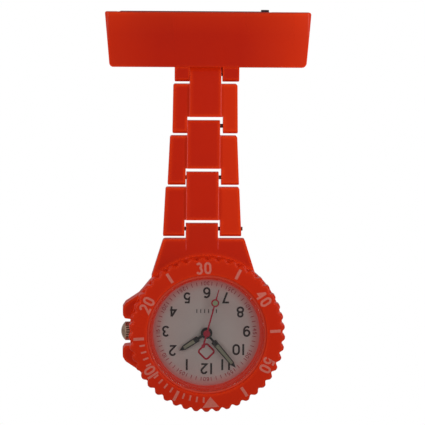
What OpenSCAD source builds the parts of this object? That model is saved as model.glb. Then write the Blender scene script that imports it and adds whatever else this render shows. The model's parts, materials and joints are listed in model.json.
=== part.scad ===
// Fob watch: a small quartz watch that hangs upside down from a brooch bar on three hinged links.
// Every module is drawn on the bench: x to the right, y up towards the brooch bar, z out of the dial.
// The hands turn about x = y = 0, and z = 0 is the outer face of the case back.
// upright() stands the drawing up: the watch then hangs along -Z and its dial faces -Y.

/* [Brooch bar] */
// Width of the bar along its top edge
bar_top_w = 46.1; // [40:0.1:50]
// Width of the bar along its bottom edge
bar_bottom_w = 43.9; // [38:0.1:48]
// Height of the bar's face
bar_h = 12.3; // [10:0.1:14]
// Thickness of the bar
bar_t = 3.6; // [3.4:0.1:4.5]
// Gap from the first hinge pin up to the bar's bottom edge
bar_above_pin = 1.55; // [1.5:0.05:2.5]

/* [Brooch pin] */
// Radius of the pin's wire
pin_wire_r = 0.38; // [0.3:0.01:0.42]
// Distance of the pin's hinge from the bar's middle
pin_hinge_x = 12.75; // [11:0.05:14]
// Length of the pin's straight wire, from the hinge axis to the start of its point
pin_straight = 29.85; // [26:0.05:30]
// Length of the pin's sharpened point
pin_point = 3.2; // [2:0.1:3.4]
// Thickness of the pin's base plate
plate_t = 0.5; // [0.4:0.05:0.6]

/* [Bracelet] */
// Distance from one hinge pin to the next
link_pitch = 11.6; // [10.5:0.1:13]
// Height of the lowest hinge pin above the hands' axis
case_pin_y = 23.1; // [22.6:0.1:24]
// Thickness of a link's outer columns
link_t = 2.6; // [2.4:0.1:3]
// How far the centre column stands above the outer columns
centre_rise = 0.45; // [0.2:0.05:0.5]
// Widths of the noses of the three links and of the case, from the bar down
nose_ws = [7, 7.3, 7.2, 7.2]; // [6.5:0.1:7.3]
// Widths of the slots that those noses turn in
slot_ws = [7.4, 8, 8, 8]; // [7.35:0.05:8.4]
// How far each nose has slid along its pin, from the bar down
slides = [-0.5, -0.82, -1, -1.05]; // [-1.05:0.01:-0.5]
// Radius of the steel hinge pins
hinge_pin_r = 0.45; // [0.4:0.05:0.5]
// Widths of the links at their upper ends, from the bar down
link_tops = [14.3, 15, 16.5]; // [14:0.1:17]
// Widths of the links at their lower ends, from the bar down
link_bottoms = [14.6, 16, 17.6]; // [14:0.1:18]

/* [Case] */
// Radius of the round case
case_r = 17.2; // [16.8:0.1:17.4]
// Height of the case's front face, below the bezel
case_top_z = 5.3; // [5.3:0.1:5.35]
// Width of the case's shoulders where the bracelet joins
shoulder_top_w = 18.2; // [17.8:0.1:19]
// Width of the shoulders where they meet the round case
shoulder_base_w = 23.4; // [22:0.1:24]
// Radius of the case back
back_r = 15; // [14.8:0.1:15.2]

/* [Bezel and crystal] */
// Radius over the bezel's teeth
bezel_r = 17.5; // [17.3:0.1:18]
// Number of teeth around the bezel
bezel_teeth = 45; // [30:1:60]
// Depth of the valleys between the teeth
tooth_depth = 0.75; // [0.3:0.05:0.8]
// Radius of the bezel's opening
bezel_opening_r = 13.4; // [13.35:0.05:13.8]
// Height of the bezel's front face
bezel_top_z = 9.4; // [9.1:0.1:9.8]
// Radius of the crystal
crystal_r = 12.9; // [12.8:0.05:12.95]
// Thickness of the crystal
crystal_t = 1.2; // [1:0.1:1.4]

/* [Dial and hands] */
// Radius of the dial
dial_r = 13.2; // [13:0.05:13.25]
// Radius of the dial that shows inside the sloping ring
dial_window_r = 12; // [11.6:0.1:12.2]
// Length of the hour hand
hour_len = 7.3; // [6.5:0.1:8]
// Length of the minute hand
minute_len = 10.2; // [9.5:0.1:11]
// Length of the second hand
second_len = 10.3; // [9:0.1:11]
// Hours on the dial
set_hour = 1; // [0:1:11]
// Minutes on the dial
set_minute = 52.75; // [0:0.25:59.75]
// Seconds on the dial
set_second = 32.5; // [0:0.5:59.5]

/* [Crown] */
// Radius of the crown
crown_r = 2.1; // [1.8:0.05:2.15]
// Height of the crown's axis above the case back's face
crown_z = 2.85; // [2.8:0.05:2.9]
// Number of grooves around the crown
crown_grooves = 24; // [16:2:30]

/* [Movement] */
// Radius of the movement's main plate
plate_r = 9.4; // [9.2:0.1:9.5]
// Radius of the battery
battery_r = 3.4; // [3:0.1:3.4]
// Thickness of the battery
battery_t = 2.6; // [1.6:0.1:2.6]

/* [Hidden] */
$fn = 64;
EPS = 0.01;
RUN = 0.05;        // radial play of a shaft that turns in its hole
SNUG = 0.01;       // radial play of parts that are pressed or pushed together

// Hinge pins' heights, from the bar down to the case
pin_ys = [for (i = [3:-1:0]) case_pin_y + i * link_pitch];
link_z = 0.6;                          // back of the links
hinge_z = link_z + link_t / 2;         // height of every hinge axis
nose_tops = [1.5, 1.2, 1.2, 1.2];      // each nose ends this far above its pin
web_above = 2.05;                      // a slot ends this far above its pin
ear_below = 1.7;                       // an outer column ends this far below its pin
outer_below = 2.2;                     // the next outer column starts this far below the pin
centre_z = link_t / 2 + centre_rise;   // centre column's face above the hinge axis
arch_r = 7;                            // the face of a centre column arches back at this radius
arch_below = 2.4;                      // starting this far below the pin
case_rise = 0.15;                      // how far the case's nose stands above its shoulders
nose_play = 0.08;                      // room around a nose's round end
head_corner_r = 0.45;                  // rounding of an outer column's upper corners
foot_corner_r = 0.3;                   // and of its lower corners
pin_inset = 0.25;                      // a hinge pin's end lies this far inside the link's side
pin_stands_out = 0.3;                  // the lowest pin stands out this far on the right

// Bar
bar_y = pin_ys[0] + bar_above_pin;
bar_top_y = bar_y + bar_h;
bar_back_z = 0.4;
bar_outline_rs = [0.9, 1.1, 0.5, 0.4]; // rounding of its corners, from the lower left anticlockwise
bar_side_rs = [0.3, 0.3, 0.8, 0.6];    // rounding of its long edges
bar_bow = 0.35;                        // the face falls back this far from its middle to its sides
bar_bow_r = (bar_top_w * bar_top_w / 4 + bar_bow * bar_bow) / (2 * bar_bow);
bar_bow_steps = 12;
bar_front_z = bar_back_z + bar_t;
rebate_z = 1.9;
rebate_y = bar_top_y - 5.6;
lug_w = 14.4;
lug_x = -0.17;                         // the lugs stand a little left of the bar's middle
bar_slot_x = -0.37;

// Brooch pin, lying along the bar's back
pin_y = bar_top_y - 0.95;
pin_z = 0.15;
pin_eye_r = 0.9;
pin_eye_h = 1.9;
ear_t = 0.38;
ear_gap = 0.08;
ear_half_w = 0.85;
eye_low_y = pin_y - pin_eye_h / 2;
eye_high_y = pin_y + pin_eye_h / 2;
low_ear_y = eye_low_y - ear_gap - ear_t;
high_ear_y = eye_high_y + ear_gap;
plate_left = -19.9;
plate_right = pin_hinge_x + 1.1;
plate_low_y = bar_top_y - 4.6;
plate_high_y = bar_top_y + 0.14;
plate_back_z = rebate_z - plate_t;
rivet_xs = [-11, 5];
rivet_y = bar_top_y - 3.4;
rivet_r = 0.55;
rivet_head_r = 0.9;
hinge_rivet_r = 0.42;
catch_x = pin_hinge_x - pin_straight - 2.55;   // outer end of the catch's housing
catch_len = 1.9;
catch_in_r = 0.72;
catch_out_r = 0.95;
lock_in_r = 0.48;
lock_len = 2.8;
lock_x = catch_x - (lock_len - catch_len) / 2;
catch_slot = 0.92;
lock_finger = 1.9;                     // the lock's finger reaches this far from its axis
lock_finger_t = 0.6;

// Case and bezel
shoulder_base_y = sqrt(case_r * case_r - shoulder_base_w * shoulder_base_w / 4);
shoulder_top_y = case_pin_y - outer_below;
shoulder_x = -0.6;
case_bottom_z = 0.35;
back_t = 0.9;
skirt_top_z = 2.3;
skirt_r = 13.95;
skirt_in_r = 13.2;
groove_r = 14.6;
groove_h = 0.6;                        // of the groove for the back's gasket
cavity_r = 13.35;
ledge_low_z = 7.2;
ledge_z = 7.6;
ledge_r = 12.3;
crystal_seat_r = crystal_r + 0.4;      // of the room in the neck for the crystal and its gasket
gasket_h = crystal_t - 0.15;
neck_r = 14.52;
neck_top_z = 8.3;
bezel_low_z = 5.45;
bezel_bore_r = neck_r + 0.08;
bezel_roof_z = 8.4;
bezel_chamfer = 0.5;
spring_z = 6.4;
spring_h = 0.5;
spring_in_r = 14.1;
spring_out_r = 15.1;
guard_z = 0.7;
guard_top_z = 5.1;
pocket_r = crown_r + 0.15;
pocket_x = -15.9;
tube_r = 0.98;
tube_out_x = -17.3;
tube_in_x = -14.1;

// Crown, at rest: pushed in
crown_in_x = -16.2;
crown_rim_x = -18.15;
crown_tip_x = -19.1;
crown_dome_h = crown_rim_x - crown_tip_x;
crown_dome_r = (crown_r * crown_r + crown_dome_h * crown_dome_h) / (2 * crown_dome_h);
crown_cup_x = -17.5;
crown_cup_r = 1.25;
stem_r = 0.45;
stem_tail_r = 0.35;

// Dial side, back to front
dial_z = 5.3;
dial_t = 0.4;
foot_r = 0.35;
hour_z = 6.2;
minute_z = 6.65;
second_z = 7.05;
hand_t = 0.16;
lume_rise = 0.03;
hand_tip = 1.3;                        // length of the point of the hour and minute hands
hour_blade = blade(0.6, 1.35, 1.15, 2.15, hour_len);
hour_window = [0.8, 0.66, 3.35, hour_len - 1.25];       // widths at its ends, and where it starts and ends
minute_blade = blade(0.5, 1.3, 1.05, 2.3, minute_len);
minute_window = [0.76, 0.6, 3.55, minute_len - 1.3];
second_w = [0.4, 0.34, 0.2];           // the second hand's width at its tail, its ring and its tip
second_hub_r = 0.76;
lume_ring_at = [0, 7.15];
lume_ring_r = 0.9;
lume_spot_r = 0.58;
tail_at = [0, -2.9];
tail_r = 0.43;

// Angles of the hands, clockwise from 12; 12 is at the bottom of a watch that hangs
second_angle = set_second * 6;
minute_angle = (set_minute + set_second / 60) * 6;
hour_angle = (set_hour + set_minute / 60 + set_second / 3600) * 30;

// Going train: 30 turns of the rotor make one of the seconds wheel, and 60 of those one of the centre wheel
rotor_leaves = 8;
fifth_teeth = 48;
fifth_leaves = 8;
seconds_teeth = 40;
seconds_leaves = 8;
third_teeth = 64;
third_leaves = 8;
centre_teeth = 60;
cannon_leaves = 12;
minute_teeth = 36;
minute_leaves = 10;
hour_teeth = 40;
setting_teeth = 24;

rotor_module = 0.08;
fifth_module = 0.12;
centre_module = 0.08;
third_module = centre_module * (centre_teeth + third_leaves) / (third_teeth + seconds_leaves);
motion_module = 0.09;
hour_module = motion_module * (cannon_leaves + minute_teeth) / (minute_leaves + hour_teeth);

function centres(module_size, a, b) = module_size * (a + b) / 2;
function polar(r, a) = r * [cos(a), sin(a)];

foot_ats = [polar(8, 60), polar(8, 240)];   // the dial's two feet
third_angle = 150;
fifth_angle = 270;
rotor_angle = 200;
third_at = polar(centres(centre_module, centre_teeth, third_leaves), third_angle);
fifth_at = polar(centres(fifth_module, seconds_teeth, fifth_leaves), fifth_angle);
rotor_at = fifth_at + polar(centres(rotor_module, fifth_teeth, rotor_leaves), rotor_angle);
minute_at = [-centres(motion_module, cannon_leaves, minute_teeth), 0];
setting_at = minute_at - [centres(motion_module, minute_teeth, setting_teeth), 0];

wheel_t = 0.12;
leaf_t = 0.24;
third_z = 1.9;
seconds_z = 2.2;
fifth_z = 2.5;
centre_wheel_z = 2.8;
bridge_z = 1.4;
bridge_t = 0.4;
main_z = 3.1;
main_top_z = 5.25;
motion_floor_z = 4.35;
cannon_z = 4.45;
minute_wheel_z = 4.5;
hour_wheel_z = 4.78;
arbor_r = 0.12;
arbor_hole_r = arbor_r + RUN;
arbor_low_z = 1.45;
arbor_top_z = 3.3;
post_r = 0.2;
setting_hub_r = 0.35;
setting_pinion_z = 3.5;
seconds_arbor_r = 0.15;
centre_tube_r = 0.4;
hour_tube_r = 0.75;
dial_hole_r = 0.9;

pillars = [[2.9, -1.9], [-4.4, -1.9], [0.2, 4.3]];
pillar_r = 0.6;
screw_r = 0.22;
screw_head_r = 0.5;
screw_head_t = 0.25;
bridge_at = [-1.2, -0.9];
bridge_r = 3.85;
battery_at = [4.7, 3.9];
battery_z = 1.45;
strap_z = 1.2;
strap_t = 0.2;
coil_y = -5.9;
coil_r = 1;
coil_x = -5.4;
coil_len = 8.2;
coil_flange_t = 0.3;
core_z = 2.3;
core_t = 0.4;
core_w = 0.8;
stator_z = 2;
stator_t = 0.3;
stator_hole_r = 0.85;
magnet_r = 0.65;
board_z = 2.5;
board_t = 0.3;
stem_boss_x = -9.2;
stem_boss_w = 2.6;
stem_boss_z = 1.9;
stem_groove_x = -8.9;
stem_groove_w = 0.6;
stem_end_x = -3.4;
clutch_x = -4.05;
clutch_w = 0.5;
lever_pivot = [-7.9, 2.3];
lever_nose = [-8.6, 0];
lever_z = 1.5;
lever_t = 0.2;
lever_post_r = 0.35;

plastic = [0.78, 0.16, 0.07];
print_grey = [0.93, 0.92, 0.9];
steel = [0.72, 0.7, 0.67];
dark_steel = [0.3, 0.24, 0.21];
brass = [0.8, 0.66, 0.35];
black = [0.1, 0.1, 0.11];
lume_green = [0.78, 0.84, 0.66];
second_red = [0.62, 0.08, 0.14];
rubber_black = [0.12, 0.12, 0.12];
nylon = [0.88, 0.88, 0.86];
tinted_nylon = [0.86, 0.3, 0.2];
copper = [0.75, 0.42, 0.25];
board_green = [0.1, 0.35, 0.2];

// ---- shared shapes ----

// Stands the bench drawing up
module upright() rotate([90, 0, 0]) children();

function unit(v) = v / norm(v);

// The points that round the corner b, between a and c, to radius r
function corner(a, b, c, r, steps) =
    let (u = unit(a - b), v = unit(c - b), half = acos(u * v) / 2)
    let (centre = b + unit(u + v) * r / sin(half))
    let (from = b + u * r / tan(half) - centre, to = b + v * r / tan(half) - centre)
    [for (i = [0:steps]) centre + r * unit(from * (1 - i / steps) + to * (i / steps))];

// A polygon's points with every corner rounded; a corner with radius 0 stays sharp
function rounded(p, radii, steps = 4) =
    [for (i = [0:len(p) - 1])
        let (n = len(p), r = is_list(radii) ? radii[i] : radii)
        each (r == 0 ? [p[i]] : corner(p[(i + n - 1) % n], p[i], p[(i + 1) % n], r, steps))];

// A trapezoid from y0 up to y1, with its corners from the lower left anticlockwise
function trapezoid(w0, w1, y0, y1) = [[-w0 / 2, y0], [w0 / 2, y0], [w1 / 2, y1], [-w1 / 2, y1]];

// A rectangle's corners, the same way round
function rectangle(x0, y0, x1, y1) = [[x0, y0], [x1, y0], [x1, y1], [x0, y1]];

// A ring or a disc about the z axis
module ring(r_out, r_in, z, h) translate([0, 0, z]) linear_extrude(h) difference() {
    circle(r_out);
    circle(r_in);
}

module disc(r, z, h) translate([0, 0, z]) cylinder(r = r, h = h);

// A rod along x from x0 to x1, at height z above the y axis
module rod_x(r, x0, x1, y = 0, z = 0) translate([x0, y, z]) rotate([0, 90, 0]) cylinder(r = r, h = x1 - x0);

// A profile drawn in y and z, run along x from -w / 2 to w / 2
module run_x(w) translate([-w / 2, 0, 0]) rotate([90, 0, 90]) linear_extrude(w) children();

// Teeth are small triangles: their points alternate between tip and root
function gear_points(teeth, size, phase) =
    [for (i = [0:2 * teeth - 1])
        polar(size * (teeth / 2 + (i % 2 == 0 ? 0.8 : -0.95)), phase + i * 180 / teeth)];

module gear(teeth, size, z, h, phase = 0)
    translate([0, 0, z]) linear_extrude(h) polygon(gear_points(teeth, size, phase));

// ---- brooch bar and its pin ----

// The bowed front of the bar seen from above, from right to left
bar_front = [for (i = [0:bar_bow_steps]) let (x = bar_top_w * (0.5 - i / bar_bow_steps))
    [x, bar_bow_r - bar_front_z - sqrt(bar_bow_r * bar_bow_r - x * x)]];
bar_plan = concat([[-bar_top_w / 2, EPS - bar_back_z], [bar_top_w / 2, EPS - bar_back_z]], bar_front);
bar_plan_rs = concat([0.3, 0.3, 1], [for (i = [2:bar_bow_steps]) 0], [1]);

// The bar is where its face outline, its side profile and its plan meet
module bar_block() intersection() {
    translate([0, 0, bar_back_z]) linear_extrude(bar_t)
        polygon(rounded(trapezoid(bar_bottom_w, bar_top_w, bar_y, bar_top_y), bar_outline_rs));
    run_x(bar_top_w + 2)
        polygon(rounded(rectangle(bar_y - EPS, bar_back_z - EPS, bar_top_y + EPS, bar_front_z), bar_side_rs));
    translate([0, bar_y - 1, 0]) rotate([-90, 0, 0]) linear_extrude(bar_h + 2)
        polygon(rounded(bar_plan, bar_plan_rs));
}

// A block from y0 up to y1 whose lower end is rounded about the hinge pin there
module outer_columns(y0, y1, w0, w1, head_r) intersection() {
    run_x(max(w0, w1) + 1) intersection() {
        translate([y0, link_z]) square([y1 - y0, link_t]);
        union() {
            translate([y0 + ear_below, hinge_z]) circle(ear_below);
            translate([y0 + ear_below, link_z - 1]) square([y1 - y0, link_t + 2]);
        }
    }
    translate([0, 0, link_z - 1]) linear_extrude(link_t + 2)
        polygon(rounded(trapezoid(w0, w1, y0, y1), [foot_corner_r, foot_corner_r, head_r, head_r]));
}

module brooch_bar() color(plastic) upright() difference() {
    union() {
        bar_block();
        translate([lug_x, 0, 0]) outer_columns(pin_ys[0] - ear_below, bar_y + 1, lug_w, lug_w, 0);
    }
    // the slot for the first link's nose, with a hollow in the bar that its round end turns in
    translate([bar_slot_x - slot_ws[0] / 2, pin_ys[0] - ear_below - 1, link_z - 1])
        cube([slot_ws[0], ear_below + 1 + bar_above_pin, bar_t + 3]);
    rod_x(centre_z + nose_play, bar_slot_x - slot_ws[0] / 2, bar_slot_x + slot_ws[0] / 2, pin_ys[0], hinge_z);
    rod_x(hinge_pin_r + SNUG, -lug_w, lug_w, pin_ys[0], hinge_z);
    // the rebate for the pin's plate, open at the top
    translate([plate_left - 0.4, rebate_y, bar_back_z - 1])
        cube([plate_right - plate_left + 0.8, 8, rebate_z - bar_back_z + 1]);
    for (x = rivet_xs) translate([x, rivet_y, rebate_z - EPS]) cylinder(r = rivet_r + SNUG, h = 1.2);
}

// An ear of the pin's hinge, folded from the plate
module hinge_ear(y) translate([pin_hinge_x, y + ear_t, 0]) rotate([90, 0, 0])
    linear_extrude(ear_t) difference() {
        union() {
            translate([0, pin_z]) circle(ear_half_w);
            translate([-ear_half_w, pin_z]) square([2 * ear_half_w, plate_back_z - pin_z + plate_t / 2]);
        }
        translate([0, pin_z]) circle(hinge_rivet_r + SNUG);
    }

module pin_plate() color(steel) upright() difference() {
    union() {
        translate([0, 0, plate_back_z]) linear_extrude(plate_t)
            polygon(rounded(rectangle(plate_left, plate_low_y, plate_right, plate_high_y), 0.5));
        hinge_ear(low_ear_y);
        hinge_ear(high_ear_y);
        // the high ear's fold stands above the plate's edge
        translate([pin_hinge_x - ear_half_w, plate_high_y - 0.6, plate_back_z])
            cube([2 * ear_half_w, high_ear_y + ear_t - plate_high_y + 0.6, plate_t]);
        // the catch's housing and its foot
        rod_x(catch_out_r, catch_x, catch_x + catch_len, pin_y, pin_z);
        translate([catch_x, pin_y - catch_in_r, pin_z + catch_in_r + 0.1])
            cube([catch_len, 2 * catch_in_r, plate_back_z - pin_z - catch_in_r]);
    }
    rod_x(catch_in_r, catch_x - 1, catch_x + catch_len + 1, pin_y, pin_z);
    translate([catch_x - 1, pin_y - catch_slot / 2, pin_z - 2]) cube([catch_len + 2, catch_slot, 2]);
    for (x = rivet_xs) translate([x, rivet_y, 0]) cylinder(r = rivet_r + SNUG, h = 3);
}

module pin_plate_rivets() color(dark_steel) upright() for (x = rivet_xs) translate([x, rivet_y, 0]) {
    disc(rivet_r, plate_back_z - EPS, 1.6);
    disc(rivet_head_r, plate_back_z - 0.35, 0.35);
}

module pin_wire() color(steel) upright() difference() {
    union() {
        rod_x(pin_wire_r, pin_hinge_x - pin_straight, pin_hinge_x, pin_y, pin_z);
        translate([pin_hinge_x - pin_straight - pin_point, pin_y, pin_z]) rotate([0, 90, 0])
            cylinder(r1 = 0.08, r2 = pin_wire_r, h = pin_point);
        translate([pin_hinge_x, eye_high_y, pin_z]) rotate([90, 0, 0]) cylinder(r = pin_eye_r, h = pin_eye_h);
    }
    translate([pin_hinge_x, eye_high_y + 1, pin_z]) rotate([90, 0, 0])
        cylinder(r = hinge_rivet_r + RUN, h = pin_eye_h + 2);
}

module pin_hinge_rivet() color(dark_steel) upright()
    translate([pin_hinge_x, high_ear_y + ear_t, pin_z]) rotate([90, 0, 0])
        cylinder(r = hinge_rivet_r, h = high_ear_y + ear_t - low_ear_y);

// The turning lock of the catch, open: its slot faces out of the bar's back
module catch_lock() color(steel) upright() difference() {
    union() {
        rod_x(catch_in_r - RUN, lock_x, lock_x + lock_len, pin_y, pin_z);
        translate([lock_x, pin_y - lock_finger, pin_z - lock_finger_t / 2])
            cube([catch_x - RUN - lock_x, lock_finger - lock_in_r - 0.02, lock_finger_t]);
    }
    rod_x(lock_in_r, catch_x - 2, catch_x + catch_len + 2, pin_y, pin_z);
    translate([catch_x - 2, pin_y - catch_slot / 2, pin_z - 2]) cube([catch_len + 4, catch_slot, 2]);
}

// ---- bracelet ----

module hinge_pin(y, x0, x1) color(dark_steel) upright() rod_x(hinge_pin_r, x0, x1, y, hinge_z);

// The side profile of a centre column, from y0 up: its face arches back into a nose around the pin at y1
module centre_profile(y0, y1, top) intersection() {
    translate([y0, link_z]) square([y1 + top - y0, link_t + centre_rise]);
    union() {
        translate([y1 - arch_below, hinge_z + centre_z - arch_r]) circle(arch_r);
        translate([y0 - 1, link_z - 1]) square([y1 - arch_below - y0 + 1, link_t + centre_rise + 2]);
    }
    union() {
        translate([y1, hinge_z]) circle(centre_z);
        translate([y0 - 1, link_z - 1]) square([y1 - y0 + 1, link_t + centre_rise + 2]);
    }
}

// A link: a raised centre column whose nose turns on the pin above, and outer columns that carry
// the pin below
module link(i) color(plastic) upright() translate([slides[i], 0, 0]) {
    upper = pin_ys[i];
    lower = pin_ys[i + 1];
    difference() {
        union() {
            outer_columns(lower - ear_below, upper - outer_below, link_bottoms[i], link_tops[i],
                head_corner_r);
            run_x(nose_ws[i]) centre_profile(lower + web_above, upper, nose_tops[i]);
        }
        // the slot for the nose below
        translate([-slot_ws[i + 1] / 2, lower - ear_below - 1, link_z - 1])
            cube([slot_ws[i + 1], ear_below + 1 + web_above, link_t + centre_rise + 2]);
        rod_x(hinge_pin_r + SNUG, -link_bottoms[i], link_bottoms[i], lower, hinge_z);
        rod_x(hinge_pin_r + RUN, -slot_ws[i], slot_ws[i], upper, hinge_z);
    }
}

// The pin in the lower end of link i, and how far its ends lie inside the link's sides
module link_pin(i, left_inset, right_inset)
    hinge_pin(pin_ys[i + 1], slides[i] - link_bottoms[i] / 2 + left_inset,
        slides[i] + link_bottoms[i] / 2 - right_inset);

module link_1() link(0);
module link_2() link(1);
module link_3() link(2);
module bar_hinge_pin() hinge_pin(pin_ys[0], lug_x - lug_w / 2 + pin_inset, lug_x + lug_w / 2 - pin_inset);
module link_1_pin() link_pin(0, pin_inset, pin_inset);
module link_2_pin() link_pin(1, pin_inset, pin_inset);
module case_hinge_pin() link_pin(2, pin_inset, -pin_stands_out);

// ---- case ----

module case_round() rotate_extrude() difference() {
    polygon(rounded([[0, case_bottom_z], [case_r, case_bottom_z], [case_r, case_top_z],
        [neck_r, case_top_z], [neck_r, neck_top_z], [0, neck_top_z]], [0, 1.2, 0.2, 0, 0.15, 0]));
    translate([spring_in_r, spring_z]) square([2, spring_h]);
}

// The shoulders rise from the bracelet's level to the case's face
module shoulders() translate([shoulder_x, 0, 0]) intersection() {
    translate([0, 0, link_z]) linear_extrude(case_top_z)
        polygon(rounded([[-shoulder_base_w / 2, 6], [shoulder_base_w / 2, 6],
            [shoulder_base_w / 2, shoulder_base_y], [shoulder_top_w / 2, shoulder_top_y],
            [-shoulder_top_w / 2, shoulder_top_y], [-shoulder_base_w / 2, shoulder_base_y]],
            [0, 0, 0, 0.4, 0.7, 0]));
    run_x(shoulder_base_w + 2) polygon([[5, link_z], [shoulder_top_y + 1, link_z],
        [shoulder_top_y + 1, link_z + link_t], [shoulder_top_y - 3, link_z + link_t + 0.5],
        [14, 4.5], [5, 4.8]]);
}

// The case's own nose, which turns on the lowest hinge pin
module case_nose() translate([slides[3], 0, 0]) run_x(nose_ws[3]) intersection() {
    centre_profile(8, case_pin_y, nose_tops[3]);
    polygon([[8, link_z], [case_pin_y + 3, link_z], [case_pin_y + 3, link_z + link_t + case_rise],
        [shoulder_top_y, link_z + link_t + case_rise], [14, 4.6], [8, 4.8]]);
}

// One guard beside the crown, above it; the other is its mirror image
module crown_guard() translate([0, 0, guard_z]) linear_extrude(guard_top_z - guard_z)
    polygon(rounded([[-12, 3], [-12, 12.2], [-15.1, 8.6], [-18.1, 6.6], [-18.75, 5.6], [-18.75, 3.9],
        [-18.3, 3.15], [-16.9, 2.95], [-16.3, 2.4], [-15, 2.4]], [0, 0, 0, 0.5, 0.5, 0.3, 0.3, 0.3, 0, 0]));

module case_body() color(plastic) upright() difference() {
    union() {
        case_round();
        shoulders();
        case_nose();
        crown_guard();
        mirror([0, 1, 0]) crown_guard();
    }
    disc(back_r + 0.03, -1, 1 + back_t + RUN);
    disc(groove_r, back_t, groove_h);
    disc(skirt_r + RUN, 0, skirt_top_z);
    disc(cavity_r, 0, ledge_low_z);
    disc(ledge_r, 0, 10);
    disc(crystal_seat_r, ledge_z, 2);
    rod_x(pocket_r, -20, pocket_x, 0, crown_z);
    rod_x(tube_r + SNUG, pocket_x - 1, -10, 0, crown_z);
    rod_x(hinge_pin_r + RUN, -slot_ws[3], slot_ws[3], case_pin_y, hinge_z);
}

module case_back() color(steel) upright() difference() {
    union() {
        rotate_extrude() polygon([[0, 0], [back_r - 0.35, 0], [back_r, 0.25],
            [back_r, back_t], [0, back_t]]);
        ring(skirt_r, skirt_in_r, back_t - EPS, skirt_top_z - back_t + EPS);
    }
    // the notch for a case knife
    translate([0, -back_r, case_bottom_z]) cube([3, 0.8, 0.5], center = true);
}

module case_back_gasket() color(rubber_black) upright()
    ring(groove_r - RUN, skirt_r + RUN, back_t + SNUG, groove_h - RUN);

// The bezel's ring, then a valley cut between every two teeth
module bezel() color(plastic) upright() difference() {
    rotate_extrude() polygon([[bezel_bore_r, bezel_low_z], [bezel_r, bezel_low_z],
        [bezel_r, bezel_top_z - bezel_chamfer], [bezel_r - bezel_chamfer, bezel_top_z],
        [bezel_opening_r, bezel_top_z], [bezel_opening_r, bezel_roof_z], [bezel_bore_r, bezel_roof_z]]);
    ring(spring_out_r, bezel_bore_r - 1, spring_z, spring_h);
    for (i = [0:bezel_teeth - 1]) rotate(90 + (i + 0.5) * 360 / bezel_teeth)
        translate([bezel_r + 0.05, 0, 0]) cylinder(r = tooth_depth + 0.05, h = bezel_top_z + 1, $fn = 24);
}

// The spring ring that holds the bezel down, with a gap so it can be squeezed over the neck
module bezel_spring() color(steel) upright() difference() {
    ring(spring_out_r - RUN - 0.1, spring_in_r + RUN, spring_z + RUN, spring_h - 2 * RUN);
    translate([14, -1, 0]) cube([3, 2, 10]);
}

module crystal() color(print_grey, 0.35) upright() rotate_extrude() polygon([[0, ledge_z + RUN],
    [crystal_r, ledge_z + RUN], [crystal_r, ledge_z + RUN + crystal_t - 0.2],
    [crystal_r - 0.2, ledge_z + RUN + crystal_t], [0, ledge_z + RUN + crystal_t]]);

module crystal_gasket() color(tinted_nylon) upright()
    ring(crystal_seat_r - SNUG, crystal_r + SNUG, ledge_z + SNUG, gasket_h);

// The sloping ring between the dial and the crystal
module rehaut_ring() color(plastic) upright() rotate_extrude() polygon([
    [dial_window_r, dial_z + dial_t + SNUG], [cavity_r - RUN, dial_z + dial_t + SNUG],
    [cavity_r - RUN, ledge_low_z - SNUG], [ledge_r, ledge_low_z - SNUG]]);

module movement_holder() color(nylon) upright() difference() {
    ring(cavity_r - RUN, plate_r + SNUG, skirt_top_z + 0.05, main_top_z - skirt_top_z - 0.05);
    battery_pocket();
    rod_x(0.75, -14, 0, 0, crown_z);
    // relief pockets that save plastic
    for (a = [30:60:330]) rotate(a) translate([11.6, 0, 0]) disc(1, 0, 4);
}

// ---- dial and hands ----

module dial() color(print_grey) upright() {
    difference() {
        disc(dial_r, dial_z, dial_t);
        disc(dial_hole_r, 0, 9);
    }
    for (at = foot_ats) translate(at) disc(foot_r, dial_z - 0.9, 0.95);
}

module dial_washer() color(brass) upright() ring(1.6, 0.85, hour_wheel_z + 0.2, 0.1);

// Turns a hand that is drawn along +y to its angle, clockwise from the bottom
module hand_turn(angle) rotate(180 - angle) children();

// A hand's outline: a slim neck, a shoulder, then a blade that narrows a little and ends in a point
function blade(neck_w, shoulder_w, tip_w, neck_end, len) = [[-neck_w / 2, 0], [neck_w / 2, 0],
    [neck_w / 2, neck_end], [shoulder_w / 2, neck_end + 0.15], [tip_w / 2, len - hand_tip], [0, len],
    [-tip_w / 2, len - hand_tip], [-shoulder_w / 2, neck_end + 0.15], [-neck_w / 2, neck_end]];

// The window in a blade, which its luminous inlay fills
function window(shoulder_w, tip_w, start, end, trim) = [[-shoulder_w / 2 + trim, start + trim],
    [shoulder_w / 2 - trim, start + trim], [tip_w / 2 - trim, end - trim], [-tip_w / 2 + trim, end - trim]];

function window_of(w, trim) = window(w[0], w[1], w[2], w[3], trim);

module hour_hand() color(black) upright() hand_turn(hour_angle) difference() {
    union() {
        translate([0, 0, hour_z]) linear_extrude(hand_t) polygon(hour_blade);
        disc(1.3, hour_z, hand_t + 0.04);
    }
    translate([0, 0, hour_z - 1]) linear_extrude(3) polygon(window_of(hour_window, 0));
    disc(hour_tube_r + SNUG, 0, 9);
}

module minute_hand() color(black) upright() hand_turn(minute_angle) difference() {
    union() {
        translate([0, 0, minute_z]) linear_extrude(hand_t) polygon(minute_blade);
        disc(0.95, minute_z, hand_t + 0.04);
    }
    translate([0, 0, minute_z - 1]) linear_extrude(3) polygon(window_of(minute_window, 0));
    disc(centre_tube_r + SNUG, 0, 9);
}

module hour_lume() color(lume_green) upright() hand_turn(hour_angle)
    translate([0, 0, hour_z]) linear_extrude(hand_t + lume_rise) polygon(window_of(hour_window, SNUG));

module minute_lume() color(lume_green) upright() hand_turn(minute_angle)
    translate([0, 0, minute_z]) linear_extrude(hand_t + lume_rise) polygon(window_of(minute_window, SNUG));

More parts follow.
